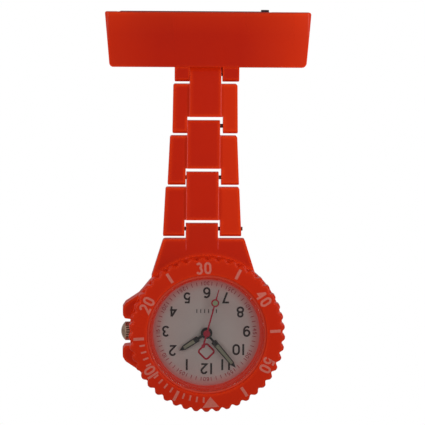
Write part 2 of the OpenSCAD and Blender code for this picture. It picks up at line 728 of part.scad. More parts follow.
// The second hand's needle, which narrows from its tail to its luminous ring and on to its tip
needle = [tail_at - [second_w[0] / 2, 0], tail_at + [second_w[0] / 2, 0],
    lume_ring_at + [second_w[1] / 2, 0], [second_w[2] / 2, second_len],
    [-second_w[2] / 2, second_len], lume_ring_at - [second_w[1] / 2, 0]];

module second_hand() color(second_red) upright() hand_turn(second_angle) difference() {
    union() {
        translate([0, 0, second_z]) linear_extrude(hand_t) polygon(needle);
        translate(lume_ring_at) disc(lume_ring_r, second_z, hand_t);
        translate(tail_at) disc(tail_r, second_z, hand_t);
        disc(second_hub_r, second_z, hand_t + 0.12);
    }
    translate(lume_ring_at) disc(lume_spot_r, 0, 9);
    disc(seconds_arbor_r + SNUG, 0, second_z + hand_t);
}

module second_lume() color(lume_green) upright() hand_turn(second_angle)
    translate(lume_ring_at) disc(lume_spot_r - SNUG, second_z, hand_t + lume_rise);

// ---- crown and setting work ----

module crown() color(steel) upright() translate([0, 0, crown_z]) difference() {
    // a round profile turned about the stem, with a domed end
    rotate([0, -90, 0]) rotate_extrude() intersection() {
        translate([0, -crown_in_x]) square([crown_r, crown_in_x - crown_tip_x]);
        union() {
            translate([0, -crown_in_x]) square([crown_r, crown_in_x - crown_rim_x]);
            translate([0, -crown_tip_x - crown_dome_r]) circle(crown_dome_r);
        }
    }
    for (i = [0:crown_grooves - 1]) rotate([i * 360 / crown_grooves, 0, 0])
        rod_x(0.17, crown_rim_x + 0.15, 0, crown_r + 0.03);
    rod_x(crown_cup_r, crown_cup_x, 0);
    rod_x(stem_r + SNUG, crown_cup_x - 0.75, 0);
}

module crown_seal() color(rubber_black) upright() difference() {
    rod_x(crown_cup_r - SNUG, crown_in_x - 0.4, crown_in_x - 0.1, 0, crown_z);
    rod_x(tube_r + SNUG, -20, 0, 0, crown_z);
}

module crown_tube() color(steel) upright() difference() {
    rod_x(tube_r, tube_out_x, tube_in_x, 0, crown_z);
    rod_x(stem_r + 0.08, -20, 0, 0, crown_z);
}

module winding_stem() color(steel) upright() difference() {
    union() {
        rod_x(stem_r, crown_cup_x - 0.7, -7.8, 0, crown_z);
        rod_x(stem_tail_r, -7.9, stem_end_x, 0, crown_z);
    }
    difference() {
        rod_x(1, stem_groove_x, stem_groove_x + stem_groove_w, 0, crown_z);
        rod_x(0.28, -10, 0, 0, crown_z);
    }
}

// A small toothed wheel on the stem's tail
module clutch_wheel() color(steel) upright() translate([clutch_x, 0, crown_z]) rotate([0, 90, 0])
    difference() {
        gear(12, 0.09, 0, clutch_w);
        disc(stem_tail_r + SNUG, -1, 3);
    }

module setting_lever() color(steel) upright() difference() {
    union() {
        translate([0, 0, lever_z]) linear_extrude(lever_t) union() {
            translate(lever_pivot) circle(0.7);
            translate(lever_nose) circle(0.32);
            polygon([lever_pivot + [-0.5, 0.1], lever_pivot + [0.5, -0.1],
                lever_nose + [0.25, 0], lever_nose + [-0.25, 0]]);
        }
        translate(lever_nose) disc(0.15, lever_z, 1.02);
    }
    translate(lever_pivot) disc(lever_post_r + RUN, 0, 4);
}

module setting_wheel() color(brass) upright() translate(setting_at) {
    gear(setting_teeth, motion_module, minute_wheel_z, wheel_t);
    disc(setting_hub_r, setting_pinion_z, minute_wheel_z - setting_pinion_z + EPS);
    gear(10, 0.08, setting_pinion_z, wheel_t);
}

// ---- movement ----

module battery_pocket() translate(battery_at) disc(battery_r + RUN, 0, battery_z + battery_t + RUN);

module main_plate() color(brass) upright() difference() {
    union() {
        disc(plate_r, main_z, main_top_z - main_z);
        for (at = pillars) translate(at)
            disc(pillar_r, bridge_z + bridge_t, main_z - bridge_z - bridge_t + EPS);
        translate([stem_boss_x, -stem_boss_w / 2, stem_boss_z])
            cube([4, stem_boss_w, main_z - stem_boss_z + EPS]);
        translate(lever_pivot) disc(lever_post_r, lever_z - 0.1, main_z - lever_z + 0.2);
        translate(lever_pivot) disc(0.6, lever_z + lever_t + RUN, main_z - lever_z - lever_t);
    }
    battery_pocket();
    for (at = pillars) translate(at) disc(screw_r + 0.03, 1, 1.7);
    // the pocket for the motion work under the dial, but for the posts its wheels turn on
    difference() {
        union() {
            disc(2, motion_floor_z, 2);
            translate(minute_at) disc(1.9, motion_floor_z, 2);
            translate(setting_at) disc(1.3, motion_floor_z, 2);
        }
        translate(minute_at) disc(post_r, motion_floor_z - 1, 1.65);
    }
    translate(setting_at) disc(0.65, main_z - EPS, 0.65);
    translate(setting_at) disc(setting_hub_r + RUN, main_z, 2);
    disc(centre_tube_r + RUN, 0, 9);
    for (at = [third_at, fifth_at, rotor_at]) translate(at) disc(arbor_hole_r, 0, arbor_top_z + 0.1);
    for (at = foot_ats) translate(at) disc(foot_r + SNUG, dial_z - 1, 2);
    // room for the stem, its clutch and the lever's nose
    rod_x(stem_r + RUN, -12, -5, 0, crown_z);
    translate([-5.3, -0.8, 1]) cube([2.1, 1.6, 2.6]);
    translate([-9.6, -0.65, 1]) cube([1.6, 1.3, 2]);
    // room for the coil
    translate([coil_x - 0.2, coil_y - coil_r - 0.1, 3]) cube([coil_len + 0.4, 2 * coil_r + 0.2, 0.6]);
}

module train_bridge() color(steel) upright() difference() {
    union() {
        translate(bridge_at) disc(bridge_r, bridge_z, bridge_t);
        for (at = pillars) translate(at) disc(pillar_r + 0.3, bridge_z, bridge_t);
        // the neck that reaches the screw beside the battery
        translate([-0.6, 2, bridge_z]) cube([1.4, 2.2, bridge_t]);
    }
    disc(seconds_arbor_r + RUN, 0, 3);
    for (at = [third_at, fifth_at, rotor_at]) translate(at) disc(arbor_hole_r, 0, 3);
    for (at = pillars) translate(at) disc(screw_r + 0.03, 0, 3);
}

module movement_screws() color(steel) upright() for (at = pillars) translate(at) difference() {
    union() {
        disc(screw_r, bridge_z - EPS, 1.2);
        disc(screw_head_r, bridge_z - screw_head_t, screw_head_t);
    }
    translate([0, 0, bridge_z - screw_head_t]) cube([2, 0.14, 0.2], center = true);
}

module battery() color(steel) upright() translate(battery_at) union() {
    disc(battery_r, battery_z + 0.35, battery_t - 0.35);
    disc(battery_r - 0.5, battery_z, battery_t);
}

module battery_strap() color(steel) upright() {
    translate([0, 0, strap_z]) linear_extrude(strap_t)
        polygon(rounded([[0.6, 5.7], [6.2, 3.6], [6.6, 4.9], [0.8, 6.6]], 0.2));
    translate([1.1, 6.1, strap_z + strap_t / 2]) cylinder(r = 0.3, h = main_z - strap_z - strap_t / 2);
}

module circuit_board() color(board_green) upright() translate([0, 0, board_z]) linear_extrude(board_t)
    polygon([[3.7, -3.9], [7.6, -3.9], [8.7, -1.5], [8.7, 0.2], [3.7, 0.2]]);

module chip() color(black) upright() translate([5, -1.9, board_z - 0.5]) cylinder(r = 1.1, h = 0.5);

module quartz_can() color(steel) upright() translate([7.4, 0.1, board_z - 0.6 - SNUG]) rotate([90, 0, 0])
    cylinder(r = 0.6, h = 3.3);

module coil() color(copper) upright() difference() {
    union() {
        rod_x(coil_r - 0.12, coil_x, coil_x + coil_len, coil_y, core_z + core_t / 2);
        for (x = [coil_x, coil_x + coil_len - coil_flange_t])
            rod_x(coil_r, x, x + coil_flange_t, coil_y, core_z + core_t / 2);
    }
    translate([-10, coil_y - core_w / 2 - SNUG, core_z - SNUG])
        cube([20, core_w + 2 * SNUG, core_t + 2 * SNUG]);
}

module coil_core() color(steel) upright() translate([-6.2, coil_y - core_w / 2, core_z])
    cube([10.4, core_w, core_t]);

module stator() color(steel) upright() translate([0, 0, stator_z]) linear_extrude(stator_t) difference() {
    polygon([[-6.3, -6.5], [-5.5, -6.5], [-5.5, -4.75], [3, -4.75], [3, -6.5], [4.3, -6.5], [4.3, -4.2],
        [-0.9, -4.2], [-0.9, -2.55], [-3.2, -2.55], [-6.3, -4.2]]);
    translate(rotor_at) circle(stator_hole_r);
}

module rotor() color(black) upright() translate(rotor_at) {
    disc(magnet_r, 1.95, 0.4);
    disc(arbor_r - 0.02, arbor_low_z, arbor_top_z - arbor_low_z);
    gear(rotor_leaves, rotor_module, fifth_z - 0.06, leaf_t, rotor_angle + 180 + 180 / rotor_leaves);
}

module fifth_wheel() color(brass) upright() translate(fifth_at) {
    disc(arbor_r, arbor_low_z, arbor_top_z - arbor_low_z);
    gear(fifth_teeth, rotor_module, fifth_z, wheel_t, rotor_angle);
    gear(fifth_leaves, fifth_module, seconds_z - 0.06, leaf_t, fifth_angle + 180 + 180 / fifth_leaves);
}

module third_wheel() color(brass) upright() translate(third_at) {
    disc(arbor_r, arbor_low_z, arbor_top_z - arbor_low_z);
    gear(third_teeth, third_module, third_z, wheel_t, third_angle + 180);
    gear(third_leaves, centre_module, centre_wheel_z - 0.06, leaf_t, third_angle + 180 + 180 / third_leaves);
}

module seconds_wheel() color(brass) upright() {
    disc(seconds_arbor_r, arbor_low_z, second_z + hand_t - arbor_low_z);
    gear(seconds_teeth, fifth_module, seconds_z, wheel_t, fifth_angle);
    gear(seconds_leaves, third_module, third_z - 0.04, leaf_t, third_angle + 180 / seconds_leaves);
}

// The centre wheel, its long tube and the cannon pinion on it
module centre_wheel() color(brass) upright() difference() {
    union() {
        gear(centre_teeth, centre_module, centre_wheel_z, wheel_t, third_angle);
        disc(centre_tube_r, centre_wheel_z - 0.05, minute_z + hand_t - centre_wheel_z + 0.05);
        gear(cannon_leaves, motion_module, cannon_z, 0.25, 180 + 180 / cannon_leaves);
    }
    disc(seconds_arbor_r + RUN, 0, 9);
}

module minute_wheel() color(brass) upright() translate(minute_at) difference() {
    union() {
        gear(minute_teeth, motion_module, minute_wheel_z, wheel_t);
        gear(minute_leaves, hour_module, minute_wheel_z + 0.1, 0.33, 0);
    }
    disc(post_r + RUN, 0, 9);
}

module hour_wheel() color(brass) upright() difference() {
    union() {
        gear(hour_teeth, hour_module, hour_wheel_z, wheel_t, 180 + 180 / hour_teeth);
        disc(hour_tube_r, hour_wheel_z - 0.03, hour_z + hand_t - hour_wheel_z + 0.03);
    }
    disc(centre_tube_r + RUN, 0, 9);
}

brooch_bar();
pin_plate();
pin_plate_rivets();
pin_wire();
pin_hinge_rivet();
catch_lock();
bar_hinge_pin();
link_1();
link_1_pin();
link_2();
link_2_pin();
link_3();
case_hinge_pin();
case_body();
case_back();
case_back_gasket();
bezel();
bezel_spring();
crystal();
crystal_gasket();
rehaut_ring();
movement_holder();
dial();
dial_washer();
hour_hand();
hour_lume();
minute_hand();
minute_lume();
second_hand();
second_lume();
crown();
crown_seal();
crown_tube();
winding_stem();
clutch_wheel();
setting_lever();
setting_wheel();
main_plate();
train_bridge();
movement_screws();
battery();
battery_strap();
circuit_board();
chip();
quartz_can();
coil();
coil_core();
stator();
rotor();
fifth_wheel();
third_wheel();
seconds_wheel();
centre_wheel();
minute_wheel();
hour_wheel();
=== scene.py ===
"""Looks of a plastic fob watch: its CAD parts get real materials, and its printed, toothed and rounded parts are built here."""

import json
import math

import bmesh
import bpy
from mathutils import Matrix, Vector

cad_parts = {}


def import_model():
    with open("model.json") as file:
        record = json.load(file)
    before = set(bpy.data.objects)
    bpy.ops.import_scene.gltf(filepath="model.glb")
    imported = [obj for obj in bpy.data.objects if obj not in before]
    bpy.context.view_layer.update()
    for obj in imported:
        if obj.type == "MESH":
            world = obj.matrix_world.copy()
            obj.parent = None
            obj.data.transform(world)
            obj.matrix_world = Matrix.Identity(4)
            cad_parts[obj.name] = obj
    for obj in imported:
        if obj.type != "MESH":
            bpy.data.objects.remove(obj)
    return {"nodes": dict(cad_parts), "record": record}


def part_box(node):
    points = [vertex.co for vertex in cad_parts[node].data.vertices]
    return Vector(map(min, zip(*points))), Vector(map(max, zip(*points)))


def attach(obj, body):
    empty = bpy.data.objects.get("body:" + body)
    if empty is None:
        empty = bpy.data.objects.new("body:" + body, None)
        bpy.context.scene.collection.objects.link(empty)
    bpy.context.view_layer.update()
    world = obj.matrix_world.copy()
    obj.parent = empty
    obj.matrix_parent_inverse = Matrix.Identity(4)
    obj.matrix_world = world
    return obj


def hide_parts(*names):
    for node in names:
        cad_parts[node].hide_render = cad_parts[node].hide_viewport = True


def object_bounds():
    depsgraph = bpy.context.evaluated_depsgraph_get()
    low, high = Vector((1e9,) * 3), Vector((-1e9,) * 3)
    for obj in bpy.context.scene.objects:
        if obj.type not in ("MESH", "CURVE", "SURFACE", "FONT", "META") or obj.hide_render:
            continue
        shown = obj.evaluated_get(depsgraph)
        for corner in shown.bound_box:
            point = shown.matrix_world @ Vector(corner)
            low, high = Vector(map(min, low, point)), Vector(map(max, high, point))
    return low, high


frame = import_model()
cad_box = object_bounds()
nodes = frame["nodes"]

# ---- the bench frame: millimetres, x right, y up towards the bar, z out of the dial ----

MM = 0.001


def row(p):
    """A bench point in the frame's metres."""
    return Vector((p[0], -p[2], p[1])) * MM


def bench_box(node):
    """Lowest and highest corners of a CAD node on the bench."""
    lo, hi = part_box(node)
    return Vector((lo.x, lo.z, -hi.y)) / MM, Vector((hi.x, hi.z, -lo.y)) / MM


def polar(r, turn):
    """A point at radius r, turned clockwise from the bottom, where 12 o'clock is."""
    a = math.radians(turn)
    return Vector((-r * math.sin(a), -r * math.cos(a)))


# ---- materials ----


class Paint:
    """A material that is built from nodes, with short calls for the ones in use here."""

    def __init__(self, name):
        self.mat = bpy.data.materials.new(name)
        self.mat.use_nodes = True
        self.tree = self.mat.node_tree
        self.bsdf = self.tree.nodes["Principled BSDF"]
        self.place = self.add("TexCoord").outputs["Object"]

    def set(self, node, values):
        for name, value in values.items():
            socket = node.inputs[name]
            if isinstance(value, bpy.types.NodeSocket):
                self.tree.links.new(value, socket)
            else:
                socket.default_value = value

    def add(self, kind, settings=None, **values):
        node = self.tree.nodes.new("ShaderNode" + kind)
        for name, value in (settings or {}).items():
            setattr(node, name, value)
        self.set(node, {name.replace("_", " "): value for name, value in values.items()})
        return node

    def noise(self, scale, detail=3, roughness=0.5, place=None):
        """Noise from 0 to 1; scale is in features per metre."""
        return self.add("TexNoise", Vector=place or self.place, Scale=scale, Detail=detail,
                        Roughness=roughness).outputs["Fac"]

    def stretched(self, x, y, z):
        """The object's coordinates, scaled along each axis."""
        return self.add("Mapping", Vector=self.place, Scale=(x, y, z)).outputs["Vector"]

    def math(self, operation, a, b=0.0):
        node = self.add("Math", {"operation": operation})
        self.set(node, {0: a, 1: b})
        return node.outputs["Value"]

    def spread(self, value, low, high, out_low=0.0, out_high=1.0):
        """value from low to high becomes out_low to out_high."""
        return self.add("MapRange", Value=value, From_Min=low, From_Max=high, To_Min=out_low,
                        To_Max=out_high).outputs["Result"]

    def mix(self, share, a, b):
        """Colour a, turning into colour b as share goes from 0 to 1."""
        node = self.add("Mix", {"data_type": "RGBA"})
        self.set(node, {0: share, 6: a, 7: b})
        return node.outputs[2]

    def edges(self, radius):
        """1 along sharp edges, over about radius metres, and 0 elsewhere."""
        soft = self.add("Bevel", Radius=radius).outputs["Normal"]
        true = self.add("NewGeometry").outputs["Normal"]
        node = self.add("VectorMath", {"operation": "DOT_PRODUCT"})
        self.set(node, {0: soft, 1: true})
        return self.spread(node.outputs["Value"], 0.98, 0.8)

    def bump(self, height, distance, strength=1.0, below=None):
        """A bump whose full height is distance metres; below is an earlier bump to add to."""
        node = self.add("Bump", Height=height, Distance=distance, Strength=strength)
        if below:
            self.set(node, {"Normal": below})
        return node.outputs["Normal"]

    def finish(self, **values):
        self.set(self.bsdf, {name.replace("_", " "): value for name, value in values.items()})
        return self.mat


def rgb(r, g, b):
    return (r, g, b, 1.0)


def crown_frame():
    """Where the crown's axis lies in depth, where its knurled band starts, and its radius."""
    lo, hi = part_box("crown")
    return (lo.y + hi.y) / 2, lo.x + 0.00105, (hi.z - lo.z) / 2


def from_axis(p):
    """Distance from the hands' axis, in metres."""
    parts = p.add("SeparateXYZ", Vector=p.place).outputs
    squares = [p.math("MULTIPLY", parts[axis], parts[axis]) for axis in "XZ"]
    return p.math("SQRT", p.math("ADD", *squares))


# The first colour is a painted glow, the third a painted highlight and the fourth a painted glow given off by
# emission; WORN is the colour of wear and grain
PAINTED_GLOW = rgb(0.88, 0.055, 0.003)
WORN = rgb(0.75, 0.06, 0.01)
PAINTED_HIGHLIGHT = rgb(0.95, 0.2, 0.2)
PLASTIC_GLOW_EMISSION = rgb(0.11, 0.004, 0.0008)


def plastic(name, colour, dark, highlit_column=None, lit_within=None, thin_ink_and_lit_bands=(), reach=0.0016):
    """Satin moulded plastic, painted paler and oranger near its edges: a painted glow standing for light passing
    through it.

    It has faint flow marks, a fine skin and hairline scratches, and a faint painted glow all over, given off by
    emission.
    A raised column, given by its middle x and half width, gets a painted highlight along its long edges. Inside the
    radius lit_within the painted glow is stronger and the edge glow weaker, and each painted light band says along
    which axis and between which places the plastic is painted paler, where more light falls, and by how much."""
    p = Paint(name)
    flow = p.spread(p.noise(90, 4), 0.3, 0.7)
    grains = p.noise(2600, 2)
    scratches = p.spread(p.noise(900, 2, place=p.stretched(1, 1, 0.06)), 0.62, 0.7)
    wear = p.math("MULTIPLY", p.edges(0.00018), p.spread(p.noise(700, 3), 0.35, 0.7))
    base = p.mix(flow, colour, dark)
    base = p.mix(p.math("MULTIPLY", grains, 0.06), base, WORN)
    parts = p.add("SeparateXYZ", Vector=p.place).outputs
    # Painted light: bands painted paler where more light falls
    for axis, start, end, share in thin_ink_and_lit_bands:
        base = p.mix(p.spread(parts[axis], start, end, 0.0, share), base, PAINTED_GLOW)
    # Painted glow near the edges, weaker inside lit_within
    inside = p.spread(from_axis(p), lit_within, lit_within - 0.0002) if lit_within else 0.0
    base = p.mix(p.math("MULTIPLY", p.edges(reach), p.spread(inside, 0, 1, 0.9, 0.2)), base, PAINTED_GLOW)
    base = p.mix(p.math("MULTIPLY", wear, 0.2), base, WORN)
    # Painted highlight along the raised column's long edges
    if highlit_column:
        off = p.math("ABSOLUTE", p.math("SUBTRACT", parts["X"], highlit_column[0]))
        beside = p.math("ABSOLUTE", p.math("SUBTRACT", off, highlit_column[1]))
        line = p.math("MULTIPLY", p.spread(beside, 0.00045, 0.00035), p.edges(0.00025))
        base = p.mix(p.math("MULTIPLY", line, 0.8), base, PAINTED_HIGHLIGHT)
    # A faint painted glow all over, given off by emission, stronger inside lit_within
    p.finish(Emission_Color=PLASTIC_GLOW_EMISSION, Emission_Strength=p.spread(inside, 0, 1, 1.0, 1.9))
    rough = p.math("ADD", p.spread(flow, 0, 1, 0.26, 0.35), p.math("MULTIPLY", scratches, 0.08))
    skin = p.bump(p.noise(1500, 2), 0.000006, 0.6)
    skin = p.bump(scratches, 0.000002, 0.4, skin)
    return p.finish(Base_Color=base, Roughness=rough, Normal=skin, Specular_IOR_Level=0.15)


# The darker colour for the top edge of metal
TOP_EDGE_DARK = rgb(0.1, 0.07, 0.085)


def metal(name, colour, dark, rough=0.28, brush=(1, 1, 1), turned=False, darkened_above=None):
    """Bare metal: brushed along one axis, or turned about the hands' axis, dulled in patches, bright on its edges.

    Above the height given as its last argument, its colour turns darker."""
    p = Paint(name)
    if turned:
        lines = p.noise(9000, 2, place=p.add("CombineXYZ", X=from_axis(p)).outputs["Vector"])
    else:
        lines = p.noise(3000, 2, place=p.stretched(*brush))
    patches = p.spread(p.noise(500, 4), 0.35, 0.7)
    bright = p.edges(0.00008)
    base = p.mix(patches, colour, dark)
    base = p.mix(p.math("MULTIPLY", bright, 0.5), base, colour)
    if darkened_above:
        # Darker colour above the given height
        height = p.add("SeparateXYZ", Vector=p.place).outputs["Z"]
        base = p.mix(p.spread(height, darkened_above, darkened_above + 0.0002), base, TOP_EDGE_DARK)
    roughness = p.math("ADD", p.spread(patches, 0, 1, rough, rough + 0.08), p.math("MULTIPLY", lines, 0.1))
    return p.finish(Base_Color=base, Metallic=1.0, Roughness=roughness, Normal=p.bump(lines, 0.000003, 0.5))


def knurled_metal(name, colour, dark, groove_shade, axis_y, rim_x, rim_r):
    """The crown: brushed round its dome, with painted shade, nearly black, in the grooves of its knurled band."""
    p = Paint(name)
    parts = p.add("SeparateXYZ", Vector=p.place).outputs
    off = p.math("SUBTRACT", parts["Y"], axis_y)
    reach = p.math("SQRT", p.math("ADD", p.math("MULTIPLY", off, off), p.math("MULTIPLY", parts["Z"], parts["Z"])))
    band = p.spread(parts["X"], rim_x, rim_x + 0.00008)
    grooves = p.math("MULTIPLY", band, p.spread(reach, rim_r - 0.00003, rim_r - 0.00012))
    lines = p.noise(3000, 2, place=p.stretched(0.1, 1, 1))
    base = p.mix(p.spread(p.noise(600, 4), 0.35, 0.7), colour, dark)
    # Painted shade in the grooves of the knurled band
    base = p.mix(p.math("MULTIPLY", grooves, 0.92), base, groove_shade)
    return p.finish(Base_Color=base, Metallic=p.spread(grooves, 0, 1, 1, 0.3), Normal=p.bump(lines, 0.000003, 0.5),
                    Roughness=p.spread(grooves, 0, 1, 0.24, 0.7))


def ink(name, colour, thin_ink_and_lit_bands, rough=0.5):
    """Printed ink: a little uneven in cover, and matt."""
    p = Paint(name)
    cover = p.spread(p.noise(4200, 3), 0.3, 0.75)
    return p.finish(Base_Color=p.mix(cover, colour, thin_ink_and_lit_bands), Roughness=p.spread(cover, 0, 1, rough, rough + 0.15),
                    Normal=p.bump(cover, 0.000003, 0.5), Specular_IOR_Level=0.3)


def lacquer(name, colour, dark, rough=0.3):
    """Thin paint on metal: fine grain under a smooth film."""
    p = Paint(name)
    grains = p.noise(6500, 2)
    cloud = p.spread(p.noise(160, 3), 0.3, 0.7)
    base = p.mix(p.math("MULTIPLY", cloud, 0.6), colour, dark)
    base = p.mix(p.math("MULTIPLY", grains, 0.15), base, dark)
    return p.finish(Base_Color=base, Roughness=p.spread(cloud, 0, 1, rough, rough + 0.1),
                    Normal=p.bump(grains, 0.000003, 0.4))


def dial_lacquer(name, colour, dark, ring_reflection_tint):
    """The dial's lacquer, painted pinker towards its edge: a painted reflection of red light from the sloping ring
    around it.
    """
    p = Paint(name)
    grains = p.noise(6500, 2)
    cloud = p.spread(p.noise(160, 3), 0.3, 0.7)
    base = p.mix(cloud, colour, dark)
    base = p.mix(p.math("MULTIPLY", grains, 0.12), base, dark)
    # Painted reflection: pinker towards the ring
    near_ring = p.math("POWER", p.spread(from_axis(p), 0.0094, 0.0125), 1.5)
    base = p.mix(near_ring, base, ring_reflection_tint)
    return p.finish(Base_Color=base, Roughness=p.spread(cloud, 0, 1, 0.45, 0.55),
                    Normal=p.bump(grains, 0.000003, 0.4), Specular_IOR_Level=0.3)


def lume_paint(name, colour, shade):
    """Luminous paint: coarse, matt grains in a pale binder."""
    p = Paint(name)
    grains = p.noise(9000, 3)
    return p.finish(Base_Color=p.mix(p.spread(grains, 0.35, 0.7), colour, shade), Roughness=0.8,
                    Normal=p.bump(grains, 0.00002, 0.8))


def nylon_skin(name, colour, shade, painted_glow_strength=0.0):
    """Nylon: translucent, slightly waxy; its last argument sets a painted glow, given off by emission, for light
    coming through it.
    """
    p = Paint(name)
    cloud = p.spread(p.noise(400, 3), 0.3, 0.7)
    return p.finish(Base_Color=p.mix(cloud, colour, shade), Roughness=0.45, Subsurface_Weight=0.3,
                    Emission_Color=colour, Emission_Strength=painted_glow_strength, Subsurface_Scale=0.0006, Normal=p.bump(p.noise(3000, 2), 0.000005, 0.5))


def rubber_skin(name):
    p = Paint(name)
    bloom = p.spread(p.noise(900, 4), 0.45, 0.75)
    return p.finish(Base_Color=p.mix(bloom, rgb(0.012, 0.012, 0.013), rgb(0.05, 0.05, 0.052)),
                    Roughness=p.spread(bloom, 0, 1, 0.55, 0.8), Normal=p.bump(p.noise(5000, 2), 0.00001, 0.6))


def clear_crystal(name):
    """A thin clear pane: it reflects more at a grazing angle and has a few hairline scratches."""
    p = Paint(name)
    hairline = p.spread(p.noise(500, 2, place=p.stretched(1, 1, 0.03)), 0.66, 0.7)
    film = p.bump(hairline, 0.000001, 0.2)
    fresnel = p.add("Fresnel", IOR=1.5, Normal=film).outputs["Fac"]
    through = p.add("BsdfTransparent", Color=rgb(0.97, 0.97, 0.97)).outputs["BSDF"]
    shine = p.add("BsdfGlossy", Color=rgb(0.9, 0.9, 0.9), Roughness=0.06, Normal=film).outputs["BSDF"]
    both = p.add("MixShader")
    p.set(both, {0: p.math("MULTIPLY", fresnel, 0.7), 1: through, 2: shine})
    p.tree.nodes.remove(p.bsdf)
    p.tree.links.new(both.outputs["Shader"], p.tree.nodes["Material Output"].inputs["Surface"])
    return p.mat


def board_mask(name):
    """A circuit board: green mask over paler copper tracks."""
    p = Paint(name)
    bricks = p.add("TexBrick", Vector=p.stretched(1, 1, 1), Scale=900, Mortar_Size=0.03).outputs["Fac"]
    base = p.mix(bricks, rgb(0.02, 0.14, 0.06), rgb(0.09, 0.3, 0.12))
    return p.finish(Base_Color=base, Roughness=0.35, Normal=p.bump(bricks, 0.00001, 0.6))


def wound_wire(name):
    """Enamelled copper wire in tight turns."""
    p = Paint(name)
    turns = p.add("TexWave", {"bands_direction": "X"}, Vector=p.place, Scale=2600, Distortion=0.3).outputs["Fac"]
    base = p.mix(turns, rgb(0.25, 0.07, 0.02), rgb(0.75, 0.32, 0.14))
    return p.finish(Base_Color=base, Metallic=0.8, Roughness=0.3, Normal=p.bump(turns, 0.00002, 0.9))


BAR_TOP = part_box("brooch_bar")[1].z
COLUMN = (-0.0008, 0.0036)  # the middle and half width of the bracelet's raised columns
# Painted light bands: the bar's plastic is painted paler towards its ends and its top, where more light falls
ORANGE = plastic("orange_plastic", rgb(0.445, 0.0095, 0.001), rgb(0.415, 0.008, 0.001), reach=0.0008,
                 thin_ink_and_lit_bands=(("X", 0.007, 0.023, 0.36), ("X", -0.011, -0.023, 0.2),
                       ("Z", BAR_TOP - 0.005, BAR_TOP, 0.2), ("Z", BAR_TOP - 0.0012, BAR_TOP, 0.25)))
# The links are painted paler along their right-hand outer columns, where more light falls, with painted highlights
# along the raised columns' edges
LINK_ORANGE = plastic("link_plastic", rgb(0.51, 0.013, 0.001), rgb(0.47, 0.01, 0.001), highlit_column=COLUMN,
                      thin_ink_and_lit_bands=(("X", 0.003, 0.0036, 0.3),))
# Inside lit_within the case and the sloping ring glow more strongly, a painted glow lifting the shade under the
# crystal
CASE_ORANGE = plastic("case_plastic", rgb(0.47, 0.013, 0.0015), rgb(0.43, 0.011, 0.001), highlit_column=COLUMN,
                      lit_within=0.0133)
BEZEL_ORANGE = plastic("bezel_plastic", rgb(0.54, 0.018, 0.001), rgb(0.5, 0.015, 0.001), reach=0.0011)
RING_ORANGE = plastic("ring_plastic", rgb(0.5, 0.015, 0.001), rgb(0.46, 0.012, 0.001), lit_within=0.0135)
STEEL = metal("satin_steel", rgb(0.62, 0.58, 0.53), rgb(0.54, 0.5, 0.45), 0.26, (1, 1, 0.08))
BACK_STEEL = metal("turned_steel", rgb(0.62, 0.59, 0.55), rgb(0.56, 0.53, 0.49), 0.24, turned=True)
# The pin plate's colour turns darker where it stands above the bar's top
PLATE_STEEL = metal("plate_steel", rgb(0.5, 0.46, 0.44), rgb(0.4, 0.36, 0.34), 0.3, (0.08, 1, 1),
                    darkened_above=BAR_TOP - 0.0003)
# The pins' dark brown is partly their own dark metal and partly painted shade, for the shade between the links where
# they sit
PIN_STEEL = metal("pin_steel", rgb(0.2, 0.12, 0.09), rgb(0.07, 0.035, 0.03), 0.35, (0.06, 1, 1))
# The crown's third colour is the painted shade in its knurled grooves
CROWN_STEEL = knurled_metal("crown_steel", rgb(0.77, 0.53, 0.39), rgb(0.48, 0.3, 0.21), rgb(0.03, 0.018, 0.012),
                            *crown_frame())
BRASS = metal("gear_brass", rgb(0.72, 0.5, 0.2), rgb(0.5, 0.33, 0.13), 0.25)
# The dial's last colour is a painted reflection of the red ring, near its edge
DIAL_WHITE = dial_lacquer("dial_white", rgb(0.77, 0.71, 0.66), rgb(0.72, 0.65, 0.61), rgb(0.85, 0.24, 0.21))
HAND_BLACK = lacquer("hand_black", rgb(0.02, 0.016, 0.015), rgb(0.035, 0.028, 0.026))
HAND_RED = lacquer("hand_red", rgb(0.6, 0.006, 0.045), rgb(0.5, 0.005, 0.035))
HAND_LUME = lume_paint("hand_lume", rgb(0.4, 0.4, 0.28), rgb(0.32, 0.32, 0.22))
RING_LUME = lume_paint("ring_lume", rgb(0.5, 0.6, 0.36), rgb(0.42, 0.52, 0.3))
NYLON = nylon_skin("white_nylon", rgb(0.8, 0.78, 0.74), rgb(0.7, 0.67, 0.63))
# The gasket's nylon is painted orange, a painted reflection of the orange plastic around it, and given a painted
# glow
BOUNCE_TINTED_NYLON = nylon_skin("tinted_nylon", rgb(0.66, 0.055, 0.02), rgb(0.6, 0.045, 0.015), painted_glow_strength=0.16)
RUBBER = rubber_skin("black_rubber")
RESIN = lacquer("black_resin", rgb(0.015, 0.015, 0.017), rgb(0.03, 0.03, 0.032), 0.45)
CRYSTAL = clear_crystal("crystal_clear")
BOARD = board_mask("board_green")
COPPER = wound_wire("copper_coil")
BEZEL_INK = ink("bezel_ink", rgb(0.74, 0.2, 0.15), rgb(0.68, 0.14, 0.1))
NUMERAL_INK = ink("numeral_ink", rgb(0.02, 0.012, 0.012), rgb(0.05, 0.03, 0.03))
TRACK_INK = ink("track_ink", rgb(0.42, 0.025, 0.05), rgb(0.5, 0.07, 0.09))
EMBLEM_INK = ink("emblem_ink", rgb(0.5, 0.008, 0.035), rgb(0.56, 0.02, 0.05))

